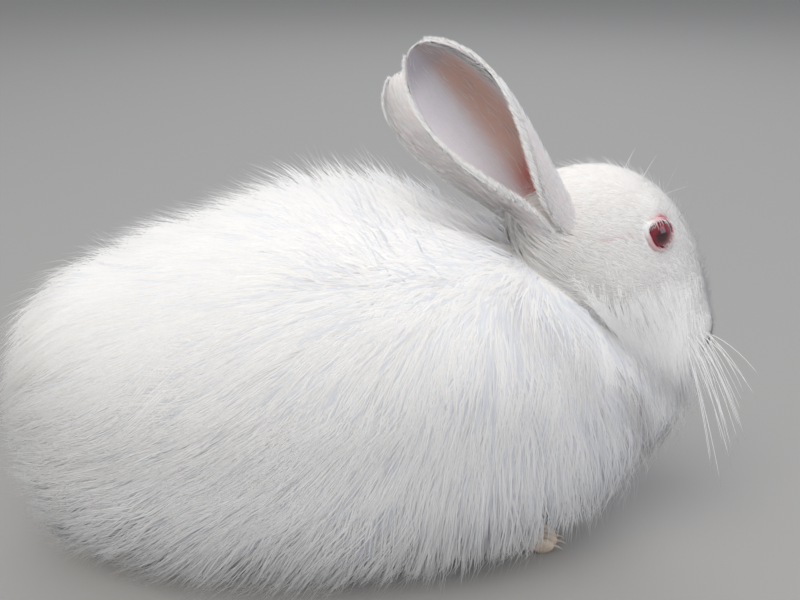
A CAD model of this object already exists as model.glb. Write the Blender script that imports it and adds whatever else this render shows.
import math

import bmesh
import bpy
import numpy as np
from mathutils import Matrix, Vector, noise
from mathutils.bvhtree import BVHTree
from mathutils.kdtree import KDTree


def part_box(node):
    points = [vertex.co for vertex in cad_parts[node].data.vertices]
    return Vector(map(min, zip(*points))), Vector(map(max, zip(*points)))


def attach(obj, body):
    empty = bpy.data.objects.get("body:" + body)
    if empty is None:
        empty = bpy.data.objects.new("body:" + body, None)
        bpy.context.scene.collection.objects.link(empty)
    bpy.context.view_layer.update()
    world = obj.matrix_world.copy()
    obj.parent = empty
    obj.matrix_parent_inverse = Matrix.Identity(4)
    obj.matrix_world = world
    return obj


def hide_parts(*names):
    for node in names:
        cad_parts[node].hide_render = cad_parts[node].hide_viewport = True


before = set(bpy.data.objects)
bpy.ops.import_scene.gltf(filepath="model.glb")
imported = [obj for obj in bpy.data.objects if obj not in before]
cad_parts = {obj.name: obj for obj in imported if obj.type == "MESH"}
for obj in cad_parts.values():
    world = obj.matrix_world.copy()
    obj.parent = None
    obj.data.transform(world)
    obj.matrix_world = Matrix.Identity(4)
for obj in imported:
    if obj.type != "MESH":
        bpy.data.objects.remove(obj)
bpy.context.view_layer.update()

# The trunk: the body of a crouched rabbit from rump to chest, under its wool. It is one smooth closed
# form, drawn through upright rings, and carries the long coat. All that is skin is joined at the end.

# The outside of the wool, from rump to chest: x, top, bottom, half width
TRUNK = np.array([
    (-0.157, 0.098, 0.054, 0.020),
    (-0.148, 0.115, 0.034, 0.038),
    (-0.135, 0.130, 0.016, 0.055),
    (-0.112, 0.139, 0.009, 0.072),
    (-0.087, 0.148, 0.004, 0.082),
    (-0.060, 0.156, 0.002, 0.088),
    (-0.030, 0.163, 0.002, 0.092),
    (0.000, 0.164, 0.003, 0.092),
    (0.028, 0.159, 0.007, 0.089),
    (0.052, 0.152, 0.010, 0.085),
    (0.074, 0.147, 0.013, 0.077),
    (0.095, 0.132, 0.020, 0.067),
    (0.115, 0.112, 0.032, 0.054),
    (0.131, 0.098, 0.043, 0.041),
    (0.146, 0.088, 0.051, 0.030),
])
TRUNK_TIPS = ((-0.159, 0.076), (0.154, 0.070))
SKIN_DEPTH = 0.0165  # from the outside of the wool in to the skin
END_SHARE = 0.55  # the wool's depth at the rump and chest, as a share of that on the flanks
END_SHRINK = 1 - SKIN_DEPTH * END_SHARE / TRUNK_TIPS[1][0]
NAPE_SPAN, JAW_SPAN = (-0.020, 0.055), (0.070, 0.110)  # where the wool thins towards the nape and the jaw
NAPE_THINNING, JAW_THINNING = 0.55, 0.45
BELLY_DEPTH = 0.4  # the wool's depth under the belly, as a share of that on the flanks
LEAST_WIDTH = 0.35  # the skin's half width at the ends, as a share of the wool's
SQUARE_ABOVE, SQUARE_BELOW = 2.3, 3.4
TRUNK_ROWS, TRUNK_SIDES = 64, 72
END_CROWDING = 0.35  # how much closer the rings stand at the two ends


def smooth(t):
    t = np.clip(t, 0.0, 1.0)
    return t * t * (3 - 2 * t)


def climb(value, low, high):
    """A smooth climb from 0 at the low value to 1 at the high one."""
    return smooth((value - low) / (high - low))


def between(table, at):
    """Rows of a table at values of its first column, on a smooth curve through its rows."""
    keys, rows = table[:, 0], table[:, 1:]
    slopes = np.gradient(rows, keys, axis=0)
    i = np.clip(np.searchsorted(keys, at, side="right") - 1, 0, len(keys) - 2)
    span = (keys[i + 1] - keys[i])[:, None]
    t = (at - keys[i])[:, None] / span
    return (
        (2 * t**3 - 3 * t**2 + 1) * rows[i]
        + (t**3 - 2 * t**2 + t) * span * slopes[i]
        + (3 * t**2 - 2 * t**3) * rows[i + 1]
        + (t**3 - t**2) * span * slopes[i + 1]
    )


def rounded(angle, squareness):
    """Cosine and sine of a superellipse."""
    c, s = np.cos(angle), np.sin(angle)
    return np.sign(c) * abs(c) ** (2 / squareness), np.sign(s) * abs(s) ** (2 / squareness)


def in_scene(name, data):
    """A new object in the scene, at the origin."""
    piece = bpy.data.objects.new(name, data)
    bpy.context.scene.collection.objects.link(piece)
    return piece


def ring_faces(rows, sides, ringed=False):
    """Four-sided faces between rings of corners, and back from the last ring to the first if ringed."""
    faces = []
    for row in range(rows if ringed else rows - 1):
        after = (row + 1) % rows
        for n in range(sides):
            m = (n + 1) % sides
            faces.append((row * sides + n, row * sides + m, after * sides + m, after * sides + n))
    return faces


def loft(name, rings, start, end):
    """A closed mesh object through rings of equal count, drawn to a point at each end."""
    rows, sides, _ = rings.shape
    corners = np.vstack([rings.reshape(-1, 3), [start, end]])
    faces = ring_faces(rows, sides)
    for n in range(sides):
        m = (n + 1) % sides
        faces.append((m, n, rows * sides))
        faces.append(((rows - 1) * sides + n, (rows - 1) * sides + m, rows * sides + 1))
    return closed(name, corners, faces)


def closed(name, corners, faces):
    """A mesh object whose faces all point outwards."""
    mesh = bpy.data.meshes.new(name)
    mesh.from_pydata(corners.tolist(), [], faces)
    bm = bmesh.new()
    bm.from_mesh(mesh)
    bmesh.ops.recalc_face_normals(bm, faces=bm.faces)
    bm.to_mesh(mesh)
    bm.free()
    return in_scene(name, mesh)


def trunk_rings():
    share = np.linspace(0, 1, TRUNK_ROWS)
    first, last = TRUNK[0, 0], TRUNK[-1, 0]
    x = first + (last - first) * (share - END_CROWDING / math.tau * np.sin(math.tau * share))
    top, bottom, half_width = between(TRUNK, x).T
    top = top - SKIN_DEPTH * (1 - NAPE_THINNING * climb(x, *NAPE_SPAN) - JAW_THINNING * climb(x, *JAW_SPAN))
    bottom = bottom + SKIN_DEPTH * BELLY_DEPTH
    half_width = np.maximum(half_width - SKIN_DEPTH, LEAST_WIDTH * half_width)
    angle = np.arange(TRUNK_SIDES) * math.tau / TRUNK_SIDES
    above, below = rounded(angle, SQUARE_ABOVE), rounded(angle, SQUARE_BELOW)
    c, s = np.where(angle < math.pi, above, below)
    rings = np.empty((TRUNK_ROWS, TRUNK_SIDES, 3))
    rings[:, :, 0] = (x * END_SHRINK)[:, None]
    rings[:, :, 1] = half_width[:, None] * c
    rings[:, :, 2] = ((top + bottom) / 2)[:, None] + ((top - bottom) / 2)[:, None] * s
    return rings


body_rings = trunk_rings()
trunk_ends = [(x * END_SHRINK, 0.0, z) for x, z in TRUNK_TIPS]
body = loft("body_form", body_rings, *trunk_ends)


# The head: a rabbit's wedge of skull and cheeks, turned 12 degrees to its left. Its fur is only a few
# millimetres deep, so the skin lies just inside the outline.

HEAD_ROOT = np.array((0.080, -0.003, 0.146))
HEAD_YAW = math.radians(12)
HEAD_TURN = np.array([
    (math.cos(HEAD_YAW), -math.sin(HEAD_YAW), 0.0),
    (math.sin(HEAD_YAW), math.cos(HEAD_YAW), 0.0),
    (0.0, 0.0, 1.0),
])
# Rings from the nape to the nose: number, top (forward, up), bottom (forward, up), half width, pear shape
HEAD = np.array([
    (0, -0.009, 0.012, -0.008, -0.011, 0.0100, 0.00),
    (1, -0.005, 0.019, -0.003, -0.022, 0.0175, 0.00),
    (2, 0.007, 0.026, 0.006, -0.033, 0.0230, 0.02),
    (3, 0.020, 0.0285, 0.014, -0.039, 0.0265, 0.05),
    (4, 0.033, 0.028, 0.021, -0.043, 0.0280, 0.08),
    (5, 0.045, 0.024, 0.029, -0.047, 0.0283, 0.12),
    (6, 0.056, 0.0165, 0.037, -0.051, 0.0275, 0.16),
    (7, 0.065, 0.0065, 0.045, -0.055, 0.0260, 0.20),
    (8, 0.0725, -0.006, 0.0525, -0.0585, 0.0243, 0.24),
    (9, 0.078, -0.018, 0.059, -0.062, 0.0225, 0.28),
    (10, 0.081, -0.028, 0.0645, -0.065, 0.0208, 0.28),
    (11, 0.0824, -0.035, 0.0690, -0.066, 0.0185, 0.22),
    (12, 0.0818, -0.040, 0.0725, -0.0635, 0.0152, 0.15),
    (13, 0.0808, -0.0445, 0.0757, -0.0590, 0.0090, 0.00),
])
HEAD_TIPS = ((-0.012, 0.000), (0.0797, -0.051))
HEAD_ROWS, HEAD_SIDES, HEAD_SQUARE = 66, 84, 2.15
FUR_DEPTH = 0.0012
# Swellings on each side of the head: forward, out, up, height, breadth
HEAD_SWELLS = (
    (0.047, 0.022, 0.013, 0.0022, 0.008),
    (0.052, 0.024, -0.004, -0.0016, 0.009),
    (0.030, 0.028, -0.020, 0.0024, 0.014),
    (0.074, 0.015, -0.045, 0.0038, 0.009),
    (0.070, 0.004, -0.066, 0.0018, 0.006),
    (0.060, 0.019, -0.020, -0.0012, 0.010),
)


def in_head(places):
    """Places given in the head's frame: forward, left, up."""
    return HEAD_ROOT + np.asarray(places, float) @ HEAD_TURN.T


def head_rings():
    at = np.linspace(0, HEAD[-1, 0], HEAD_ROWS)
    top_x, top_z, bottom_x, bottom_z, half_width, pear = between(HEAD, at).T[:, :, None]
    c, s = rounded(np.arange(HEAD_SIDES) * math.tau / HEAD_SIDES, HEAD_SQUARE)
    middle = np.stack([(top_x + bottom_x) / 2, 0 * top_x, (top_z + bottom_z) / 2], -1)
    half_x, half_z = (top_x - bottom_x) / 2, (top_z - bottom_z) / 2
    out = np.stack([half_x * s, half_width * c * (1 - pear * s), half_z * s], -1)
    points = middle + out
    swell = np.zeros(points.shape[:2])
    for forward, side, up, height, breadth in HEAD_SWELLS:
        away = (points * (1, 0, 1) + abs(points) * (0, 1, 0)) - (forward, side, up)
        swell += height * np.exp(-(away**2).sum(-1) / breadth**2)
    way = out / np.linalg.norm(out, axis=-1, keepdims=True)
    return in_head(points + way * (swell - FUR_DEPTH)[:, :, None])


face_rings = head_rings()
(back, back_up), (front, front_up) = HEAD_TIPS
head_ends = in_head([(back + FUR_DEPTH, 0, back_up), (front - FUR_DEPTH, 0, front_up)])
skull = loft("head_form", face_rings, *head_ends)


# The ears: two long furled leaves of thin gristle, short white fur outside, bare pink skin and fine hair
# in the cup. The left one is turned to show its back to the right side.

EAR_ROWS, EAR_ARC, EAR_CROWDING = 44, 26, 0.9
EAR_WALL, EAR_THINNING = 0.0018, 0.45
EAR_DEPTH = 0.80  # how deep a cup is, as a share of a round one
# Along an ear: share of its length, breadth laid flat, half the angle that the cup wraps
EAR = np.array([
    (0.00, 0.058, 172),
    (0.12, 0.064, 168),
    (0.28, 0.067, 142),
    (0.46, 0.063, 112),
    (0.64, 0.053, 90),
    (0.80, 0.040, 84),
    (0.91, 0.026, 80),
    (0.97, 0.014, 76),
    (0.99, 0.007, 74),
])
# Root, middle and tip of each ear, and the way that its cup opens
EARS = {
    "ear_right": (
        (0.0895, -0.0145, 0.1500), (0.054, -0.023, 0.196), (0.026, -0.026, 0.229), (-0.10, -1, 0.0),
    ),
    "ear_left": (
        (0.0810, 0.0140, 0.1510), (0.042, 0.022, 0.184), (0.021, 0.020, 0.212), (0.15, 1, 0.15),
    ),
}


def unit(ways):
    return ways / np.maximum(np.linalg.norm(ways, axis=-1, keepdims=True), 1e-9)


def ear_sheets(name):
    """The outer and the inner face of an ear as two grids of places, and the way along it at each row."""
    root, middle, tip, opening = [np.array(value, float) for value in EARS[name]]
    bend = 2 * middle - (root + tip) / 2
    share = EAR[-1, 0] * np.linspace(0, 1, EAR_ROWS) ** EAR_CROWDING
    breadth, wrap = between(EAR, share).T
    wrap = np.radians(wrap)
    s = share[:, None]
    centre = root * (1 - s) ** 2 + bend * (2 * s * (1 - s)) + tip * s**2
    along = unit((bend - root) * (1 - s) + (tip - bend) * s)
    open_way = unit(opening - along * (along @ opening)[:, None])
    across = np.cross(along, open_way)
    wall = EAR_WALL * (1 - EAR_THINNING * share)
    turn = math.pi + wrap[:, None] * np.linspace(-1, 1, EAR_ARC)
    reach = (breadth / (2 * wrap))[:, None]
    forward, beside = (np.cos(turn) * EAR_DEPTH)[:, :, None], np.sin(turn)[:, :, None]
    ways = open_way[:, None] * forward + across[:, None] * beside
    sheets = [centre[:, None] + ways * (reach + wall[:, None] * side / 2)[:, :, None] for side in (1, -1)]
    return sheets[0], sheets[1], along


def ear_form(name):
    outer, inner, _ = ear_sheets(name)
    rings = np.concatenate([outer, inner[:, ::-1]], axis=1)
    rows, sides, _ = rings.shape
    faces = ring_faces(rows, sides)
    for row in (0, rows - 1):
        for n in range(EAR_ARC - 1):
            a, b = row * sides + n, row * sides + sides - 1 - n
            faces.append((a, a + 1, b - 1, b))
    return closed(name + "_form", rings.reshape(-1, 3), faces)


ears = {name: ear_form(name) for name in EARS}


# The legs and feet: mostly hidden in the wool, with a flat sole and four toes each. The tail is a small
# round stump set in the rump's wool.

FORE_FOOT = {"heel": (0.058, 0.021), "toes": (0.088, 0.022), "half_width": 0.0080, "height": 0.0120}
HIND_FOOT = {"heel": (-0.066, 0.036), "toes": (0.010, 0.040), "half_width": 0.0095, "height": 0.0145}
# Along a limb from the foot up: share of its length, x, y, z, radius
FORE_LIMB = np.array([
    (0.0, 0.066, 0.022, 0.009, 0.0075),
    (0.5, 0.056, 0.027, 0.034, 0.0085),
    (1.0, 0.044, 0.033, 0.056, 0.012),
])
HIND_LIMB = np.array([
    (0.0, -0.060, 0.036, 0.010, 0.0085),
    (0.5, -0.038, 0.041, 0.030, 0.012),
    (1.0, -0.010, 0.044, 0.050, 0.018),
])
LIMB_ROWS, FOOT_ROWS, LEG_SIDES, FOOT_SQUARE = 18, 22, 24, 2.6
# Along a foot from the heel: share of its length, share of its breadth, share of its height
FOOT_RINGS = np.array([
    (0.0, 0.62, 0.70), (0.25, 0.82, 0.92), (0.6, 0.95, 0.95), (0.85, 1.0, 0.82), (0.97, 0.8, 0.6),
])
TOE_GAP, TOE_LENGTH, TOE_SHARE = 0.52, 0.0053, 0.30  # the last two as shares of the foot's width and height
MIDDLE_TOES, OUTER_TOES = 0.0005, -0.0015  # how far the toes stand past the end of the foot
TAIL_CENTRE, TAIL_RADII = np.array((-0.131, 0.0, 0.066)), np.array((0.015, 0.012, 0.020))
SOLE = 0.0004


def ball(name, centre, radii, segments=24):
    up = np.linspace(-math.pi / 2, math.pi / 2, segments // 2 + 1)[1:-1]
    turn = np.arange(segments) * math.tau / segments
    rings = np.stack(
        [
            np.cos(up)[:, None] * np.cos(turn),
            np.cos(up)[:, None] * np.sin(turn),
            np.repeat(np.sin(up)[:, None], segments, 1),
        ],
        -1,
    )
    centre, radii = np.array(centre, float), np.array(radii, float)
    return loft(name, centre + rings * radii, centre - radii * (0, 0, 1), centre + radii * (0, 0, 1))


def rings_along(path, radii, sides, beside):
    """Rings round a path and the way along it. The way beside it is one that it never runs in."""
    along = unit(np.gradient(path, axis=0))
    across = unit(np.cross(along, beside))
    other = np.cross(along, across)
    turn = np.arange(sides) * math.tau / sides
    around = across[:, None] * np.cos(turn)[:, None] + other[:, None] * np.sin(turn)[:, None]
    return path[:, None] + around * np.asarray(radii, float)[:, None, None], along


def tube(name, path, radii, sides):
    """A closed round bar along a path, its ends drawn to a blunt point."""
    path = np.array(path, float)
    rings, along = rings_along(path, radii, sides, (0.02, 0.01, 1.0))
    return loft(name, rings, path[0] - along[0] * radii[0] * 0.5, path[-1] + along[-1] * radii[-1] * 0.5)


def combine(piece, others, operation):
    """Joins a closed mesh with others, or cuts it by them."""
    group = bpy.data.collections.new("operands")
    for other in others:
        group.objects.link(other)
    modifier = piece.modifiers.new(operation, "BOOLEAN")
    modifier.operand_type = "COLLECTION"
    modifier.collection = group
    modifier.operation = operation
    modifier.solver = "MANIFOLD"
    graph = bpy.context.evaluated_depsgraph_get()
    mesh = bpy.data.meshes.new_from_object(piece.evaluated_get(graph))
    piece.modifiers.clear()
    piece.data = mesh
    for other in others:
        bpy.data.objects.remove(other, do_unlink=True)
    bpy.data.collections.remove(group)


def foot_rings(foot, side):
    heel, toes = np.array(foot["heel"]), np.array(foot["toes"])
    share = np.linspace(0, FOOT_RINGS[-1, 0], FOOT_ROWS)
    wide, high = between(FOOT_RINGS, share).T
    plan = heel + (toes - heel) * share[:, None]
    c, s = rounded(np.arange(LEG_SIDES) * math.tau / LEG_SIDES, FOOT_SQUARE)
    rings = np.empty((FOOT_ROWS, LEG_SIDES, 3))
    rings[:, :, 0] = plan[:, 0:1]
    rings[:, :, 1] = side * (plan[:, 1:2] + foot["half_width"] * wide[:, None] * c)
    rings[:, :, 2] = foot["height"] * high[:, None] * (0.4 + np.where(s > 0, 0.6, 0.36) * s)
    return rings


def limb_rings(limb, side):
    x, y, z, radius = between(limb, np.linspace(0, 1, LIMB_ROWS)).T
    return rings_along(np.stack([x, y * side, z], -1), radius, LEG_SIDES, (0.0, 1.0, 0.0))[0]


def toe_spots(foot, side):
    """Where the four toes of a foot end, seen from above."""
    toe_x, toe_y = foot["toes"]
    spots = []
    for n in range(4):
        ahead = MIDDLE_TOES if n in (1, 2) else OUTER_TOES
        spots.append((toe_x + ahead, side * (toe_y + (n - 1.5) * foot["half_width"] * TOE_GAP)))
    return spots


def leg_form(name, foot, limb, side):
    rings = foot_rings(foot, side)
    start, end = rings[0].mean(0) - (0.002, 0, 0), rings[-1].mean(0) + (0.001, 0, 0)
    piece = loft(name, rings, start, end)
    upper = limb_rings(limb, side)
    parts = [loft("limb", upper, upper[0].mean(0), upper[-1].mean(0))]
    radii = (TOE_LENGTH, foot["half_width"] * TOE_SHARE, foot["height"] * TOE_SHARE)
    for x, y in toe_spots(foot, side):
        parts.append(ball("toe", (x, y, SOLE + radii[2]), radii, 18))
    combine(piece, parts, "UNION")
    return piece


LEGS = {
    "foreleg_right": (FORE_FOOT, FORE_LIMB, -1),
    "foreleg_left": (FORE_FOOT, FORE_LIMB, 1),
    "hindleg_right": (HIND_FOOT, HIND_LIMB, -1),
    "hindleg_left": (HIND_FOOT, HIND_LIMB, 1),
}
legs = {name: leg_form(name + "_form", *shape) for name, shape in LEGS.items()}
tail = ball("tail_form", TAIL_CENTRE, TAIL_RADII, 32)


# The coat: fine white wool on the body, a few centimetres long, that hangs from the spine and lies
# backwards on the flanks, and short flat fur on the head, ears and feet. Each tuft is a thin closed
# spike of hair, laid along the coat's lie and lifted off the skin towards its tip.

WHITE, WOOL_SHADE, CREASE, STAIN = "#FBFAF8", "#EEF0F4", "#A39A97", "#C99F62"
SEED = 11
FLOOR_CLEAR = 0.0006


def linear(code):
    """The linear red, green and blue of an sRGB hex colour."""
    parts = np.array([int(code[n : n + 2], 16) / 255 for n in (1, 3, 5)])
    return np.where(parts <= 0.04045, parts / 12.92, ((parts + 0.055) / 1.055) ** 2.4)


def surface_of(piece):
    bm = bmesh.new()
    bm.from_mesh(piece.data)
    tree = BVHTree.FromBMesh(bm)
    bm.free()
    return tree


def nearest(tree, points):
    """The nearest place on a surface to each point, and the way that it faces there."""
    hits = [tree.find_nearest(point) for point in points.tolist()]
    return np.array([hit[0][:] for hit in hits]), np.array([hit[1][:] for hit in hits])


def outside(tree, points, clear):
    """Which points are outside a form, or at least that far from its surface."""
    near, out = nearest(tree, points)
    return ((points - near) * out).sum(1) > clear


surfaces = {name: surface_of(piece) for name, piece in (("body", body), ("head", skull), ("tail", tail))}
surfaces.update({name: surface_of(piece) for name, piece in (*ears.items(), *legs.items())})


def roots_on(grid, count, density, draw, around=True):
    """Places strewn over a grid of places, as dense as asked, and where each is on the grid, from 0 to 1."""
    if around:
        grid = np.concatenate([grid, grid[:, :1]], axis=1)
    a, b, c, d = grid[:-1, :-1], grid[:-1, 1:], grid[1:, :-1], grid[1:, 1:]
    area = np.linalg.norm(np.cross(b - c, d - a), axis=-1) / 2
    weight = (area * density((a + d) / 2)).ravel()
    cell = draw.choice(weight.size, count, p=weight / weight.sum())
    u, v = draw.random((2, count))
    corner = [places.reshape(-1, 3)[cell] for places in (a, b, c, d)]
    u1, v1 = u[:, None], v[:, None]
    first, second = corner[0] * (1 - v1) + corner[1] * v1, corner[2] * (1 - v1) + corner[3] * v1
    spots = first * (1 - u1) + second * u1
    rows, columns = area.shape
    return spots, np.column_stack([(cell // columns + u) / rows, (cell % columns + v) / columns])


def with_ends(rings, ends):
    """A form's rings with the points that close it, so that hair is rooted on its ends too."""
    start, end = [np.broadcast_to(np.array(place), rings[0].shape)[None] for place in ends]
    return np.concatenate([start, rings, end])


ROOT_SINK = 0.0015  # how deep under the skin the wool is rooted
WAY_KEPT = 0.7  # how much of its last way a tuft keeps as it runs on along the lie


def tuft_paths(tree, roots, lie, length, rise, sway, steps, sink=ROOT_SINK):
    """Places along each tuft, from just under the skin to its tip, and the way that faces out there."""
    spots, ways = roots, np.zeros_like(roots)
    path, facing = [], []
    for step in range(steps):
        share = step / (steps - 1)
        near, out = nearest(tree, spots)
        lift = (rise + sink) * (0.3 * share + 0.7 * smooth(share)) - sink
        path.append(near + out * lift[:, None])
        facing.append(out)
        along = lie(near) + ways * WAY_KEPT
        ways = unit(along - out * (along * out).sum(1, keepdims=True))
        swerve = np.cross(out, ways) * (sway * math.sin(math.pi * (share * 1.5 + 0.2)))[:, None]
        spots = near + unit(ways + swerve) * (length / (steps - 1))[:, None]
    return np.stack(path, 1), np.stack(facing, 1)


def gather(paths, size, pull, draw):
    """Draws the tips of neighbouring tufts together, as wool does in its locks."""
    heads = draw.choice(len(paths), max(len(paths) // size, 1), replace=False)
    tree = KDTree(len(heads))
    for n, head in enumerate(heads):
        tree.insert(paths[head, 0], n)
    tree.balance()
    own = heads[[tree.find(root)[1] for root in paths[:, 0].tolist()]]
    share = np.linspace(0, 1, paths.shape[1])[None, :, None]
    offset = paths[own] - paths
    strength = pull * draw.uniform(0.4, 1.0, len(paths))[:, None, None]
    return paths + offset * strength * smooth(share * 1.1)


TUFT_PROFILE = np.array([0.75, 1.0, 0.85, 0.5])
TUFT_FLATNESS = 0.7
BAKE_PATCH = 0.003
# Hair scatters light as one mass, so a tuft is shaded mostly as the skin under it faces, and only by this
# share as its own sides do. Tufts that stand free, such as whiskers, have 1 and are shaded as they are.
OWN_SHADE = 0.55


def tuft_mesh(name, paths, facing, width, tint, patch, material, own_shade=OWN_SHADE):
    """One closed mesh of three-sided spikes along the paths, with its colours and its bake patches."""
    count, steps, _ = paths.shape
    rings = steps - 1
    paths[:, :, 2] = np.maximum(paths[:, :, 2], FLOOR_CLEAR)
    along = unit(np.gradient(paths, axis=1))[:, :rings]
    across = unit(np.cross(along, facing[:, :rings]))
    outward = np.cross(across, along)
    profile = np.interp(np.linspace(0, 1, rings), np.linspace(0, 1, 4), TUFT_PROFILE)
    half = (width[:, None] * profile / 2)[:, :, None]
    spine = paths[:, :rings]
    ridge = spine + outward * half * TUFT_FLATNESS
    ring = np.stack([spine + across * half, ridge, spine - across * half], 2)
    ring[..., 2] = np.maximum(ring[..., 2], FLOOR_CLEAR / 2)
    each = rings * 3 + 1
    corners = np.concatenate([ring.reshape(count, -1, 3), paths[:, -1:]], axis=1)
    pattern = [(0, 1, 2)]
    for row in range(rings - 1):
        for n in range(3):
            a, b = row * 3 + n, row * 3 + (n + 1) % 3
            pattern += [(a, a + 3, b), (b, a + 3, b + 3)]
    last = (rings - 1) * 3
    pattern += [(last + n, each - 1, last + (n + 1) % 3) for n in range(3)]
    pattern = np.array(pattern)
    faces = (pattern[None] + (np.arange(count) * each)[:, None, None]).reshape(-1, 3)
    mesh = bpy.data.meshes.new(name)
    mesh.vertices.add(count * each)
    mesh.vertices.foreach_set("co", corners.astype(np.float32).ravel())
    mesh.loops.add(faces.size)
    mesh.loops.foreach_set("vertex_index", faces.astype(np.int32).ravel())
    mesh.polygons.add(len(faces))
    mesh.polygons.foreach_set("loop_start", np.arange(0, faces.size, 3, dtype=np.int32))
    mesh.update()
    bake = mesh.uv_layers.new(name="OFBake")
    share = np.append(np.repeat(np.arange(rings) / rings, 3), 1.0)
    side = np.append(np.tile((0.0, 0.5, 1.0), rings), 0.5)
    spot = patch[:, None] + np.stack([side, share], -1)[None] * BAKE_PATCH
    bake.data.foreach_set("uv", spot.reshape(-1, 2)[faces.ravel()].astype(np.float32).ravel())
    strand = mesh.uv_layers.new(name="strand")
    strand_uv = np.tile(np.stack([side, share], -1), (count, 1))
    strand.data.foreach_set("uv", strand_uv[faces.ravel()].astype(np.float32).ravel())
    colour = mesh.color_attributes.new("tint", "FLOAT_COLOR", "POINT")
    shades = np.ones((count, each, 4))
    shades[..., :3] = tint[:, None]
    colour.data.foreach_set("color", shades.astype(np.float32).ravel())
    mesh.polygons.foreach_set("use_smooth", np.ones(len(faces), bool))
    if own_shade < 1:
        own = np.stack([across, outward * TUFT_FLATNESS, -across], 2)
        leaning = unit(facing[:, :rings, None] + own * own_shade).reshape(count, -1, 3)
        leaning = np.concatenate([leaning, facing[:, -1:]], axis=1).reshape(-1, 3)
        mesh.normals_split_custom_set_from_vertices(leaning.tolist())
    mesh.materials.append(material)
    piece = in_scene(name, mesh)
    # Fine white hair lets light through, so the tufts throw no hard shadows: only the skin under them does
    piece.visible_shadow = False
    return piece


# Where each form's unwrap lies on the bake sheet: left, bottom, width, height
SHEET = {
    "body": (0.00, 0.00, 0.50, 0.99),
    "head": (0.51, 0.50, 0.30, 0.49),
    "tail": (0.51, 0.00, 0.10, 0.20),
    "ear_right": (0.82, 0.50, 0.08, 0.49),
    "ear_left": (0.91, 0.50, 0.08, 0.49),
    "cup_right": (0.82, 0.00, 0.08, 0.49),
    "cup_left": (0.91, 0.00, 0.08, 0.49),
    "foreleg_right": (0.62, 0.00, 0.09, 0.20),
    "foreleg_left": (0.72, 0.00, 0.09, 0.20),
    "hindleg_right": (0.62, 0.22, 0.09, 0.20),
    "hindleg_left": (0.72, 0.22, 0.09, 0.20),
}
# The dusky crease between the head and the ruff of the body, down the right side
CREASE_LINE = np.array([
    (0.064, -0.022, 0.160), (0.078, -0.038, 0.133), (0.104, -0.038, 0.115), (0.125, -0.025, 0.086),
])
CREASE_REACH, CREASE_DEPTH = 0.0065, (0.45, 0.95)
SHADED_HEIGHTS, SHADED = (0.14, 0.02), 0.5  # the low wool is cooler, by at most this share
SOILED_HEIGHTS, SOILED_AHEAD, SOILED = (0.030, 0.004), (0.040, 0.070), 0.55  # the front toes are stained


def on_sheet(form, place):
    left, bottom, width, height = SHEET[form]
    return np.array((left, bottom)) + place * np.array((width, height)) * (1 - BAKE_PATCH)


def near_line(points, line, reach):
    """How strongly places feel a line of points, from 1 on it down to 0."""
    best = np.full(len(points), np.inf)
    for start, end in zip(line, line[1:]):
        way = end - start
        share = np.clip(((points - start) @ way) / (way @ way), 0, 1)
        best = np.minimum(best, np.linalg.norm(points - start - share[:, None] * way, axis=1))
    return np.exp(-((best / reach) ** 2))


def mixed(colours, other, share):
    return colours + (linear(other) - colours) * np.broadcast_to(share, len(colours))[:, None]


def coat_colour(points, ground, draw, spread=0.05):
    """The coat's own markings, the same for the skin under it: white, stained and dusky in places."""
    colours = np.tile(linear(ground), (len(points), 1))
    low = climb(points[:, 2], *SHADED_HEIGHTS)
    colours = mixed(colours, WOOL_SHADE, SHADED * draw.random(len(points)) * low)
    for line_points in (points, points * (1, -1, 1)):
        dusky = near_line(line_points, CREASE_LINE, CREASE_REACH) * draw.uniform(*CREASE_DEPTH, len(points))
        colours = mixed(colours, CREASE, dusky)
    soiled = climb(points[:, 2], *SOILED_HEIGHTS) * climb(points[:, 0], *SOILED_AHEAD)
    colours = mixed(colours, STAIN, SOILED * soiled)
    return colours * (1 - spread * draw.random(len(points)))[:, None]


# How far round from straight back the flank's wool lies, in degrees, by its place from rump to chest: it
# fans out from the shoulder, straight down on the shoulder itself and forwards in the ruff
FAN = np.array([
    (-0.16, 4), (-0.08, 14), (-0.03, 26), (0.01, 46), (0.04, 70), (0.07, 90), (0.10, 102), (0.16, 114),
])


def wool_lie(points):
    """The way that the wool lies at places on the trunk, before it is laid along the surface."""
    x, y, z = points.T
    side = np.sign(y) * (abs(y) > 0.004)
    low, ridge = climb(z, 0.075, 0.020), climb(z, 0.115, 0.150)
    down = np.radians((np.interp(x, FAN[:, 0], FAN[:, 1]) + 20 * low) * (1 - 0.75 * ridge))
    return unit(np.stack([-np.cos(down), side * 0.32 * (1 - low), -np.sin(down)], 1))


def belly(points):
    return climb(points[..., 2], 0.024, 0.010) * climb(abs(points[..., 1]), 0.060, 0.040)


# How much thinner the wool is under the jaw, on the belly and at the rump's end, and where
UNDER_JAW, ON_BELLY, AT_RUMP, RUMP_END = 0.35, 0.45, 0.5, (0.120, 0.150)


def wool_depth(points):
    """The room from the skin to the outside of the wool."""
    x = points[:, 0]
    above = climb(points[:, 2], 0.06, 0.12)
    thinning = above * (NAPE_THINNING * climb(x, *NAPE_SPAN) + UNDER_JAW * climb(x, *JAW_SPAN))
    return SKIN_DEPTH * (1 - AT_RUMP * climb(-x, *RUMP_END)) * (1 - thinning - ON_BELLY * belly(points))


OFF_HEAD = (0.0006, 0.0045)
HEAD_AHEAD, HEAD_ABOVE = 0.062, 0.070  # only wool past these can meet the head


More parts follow.
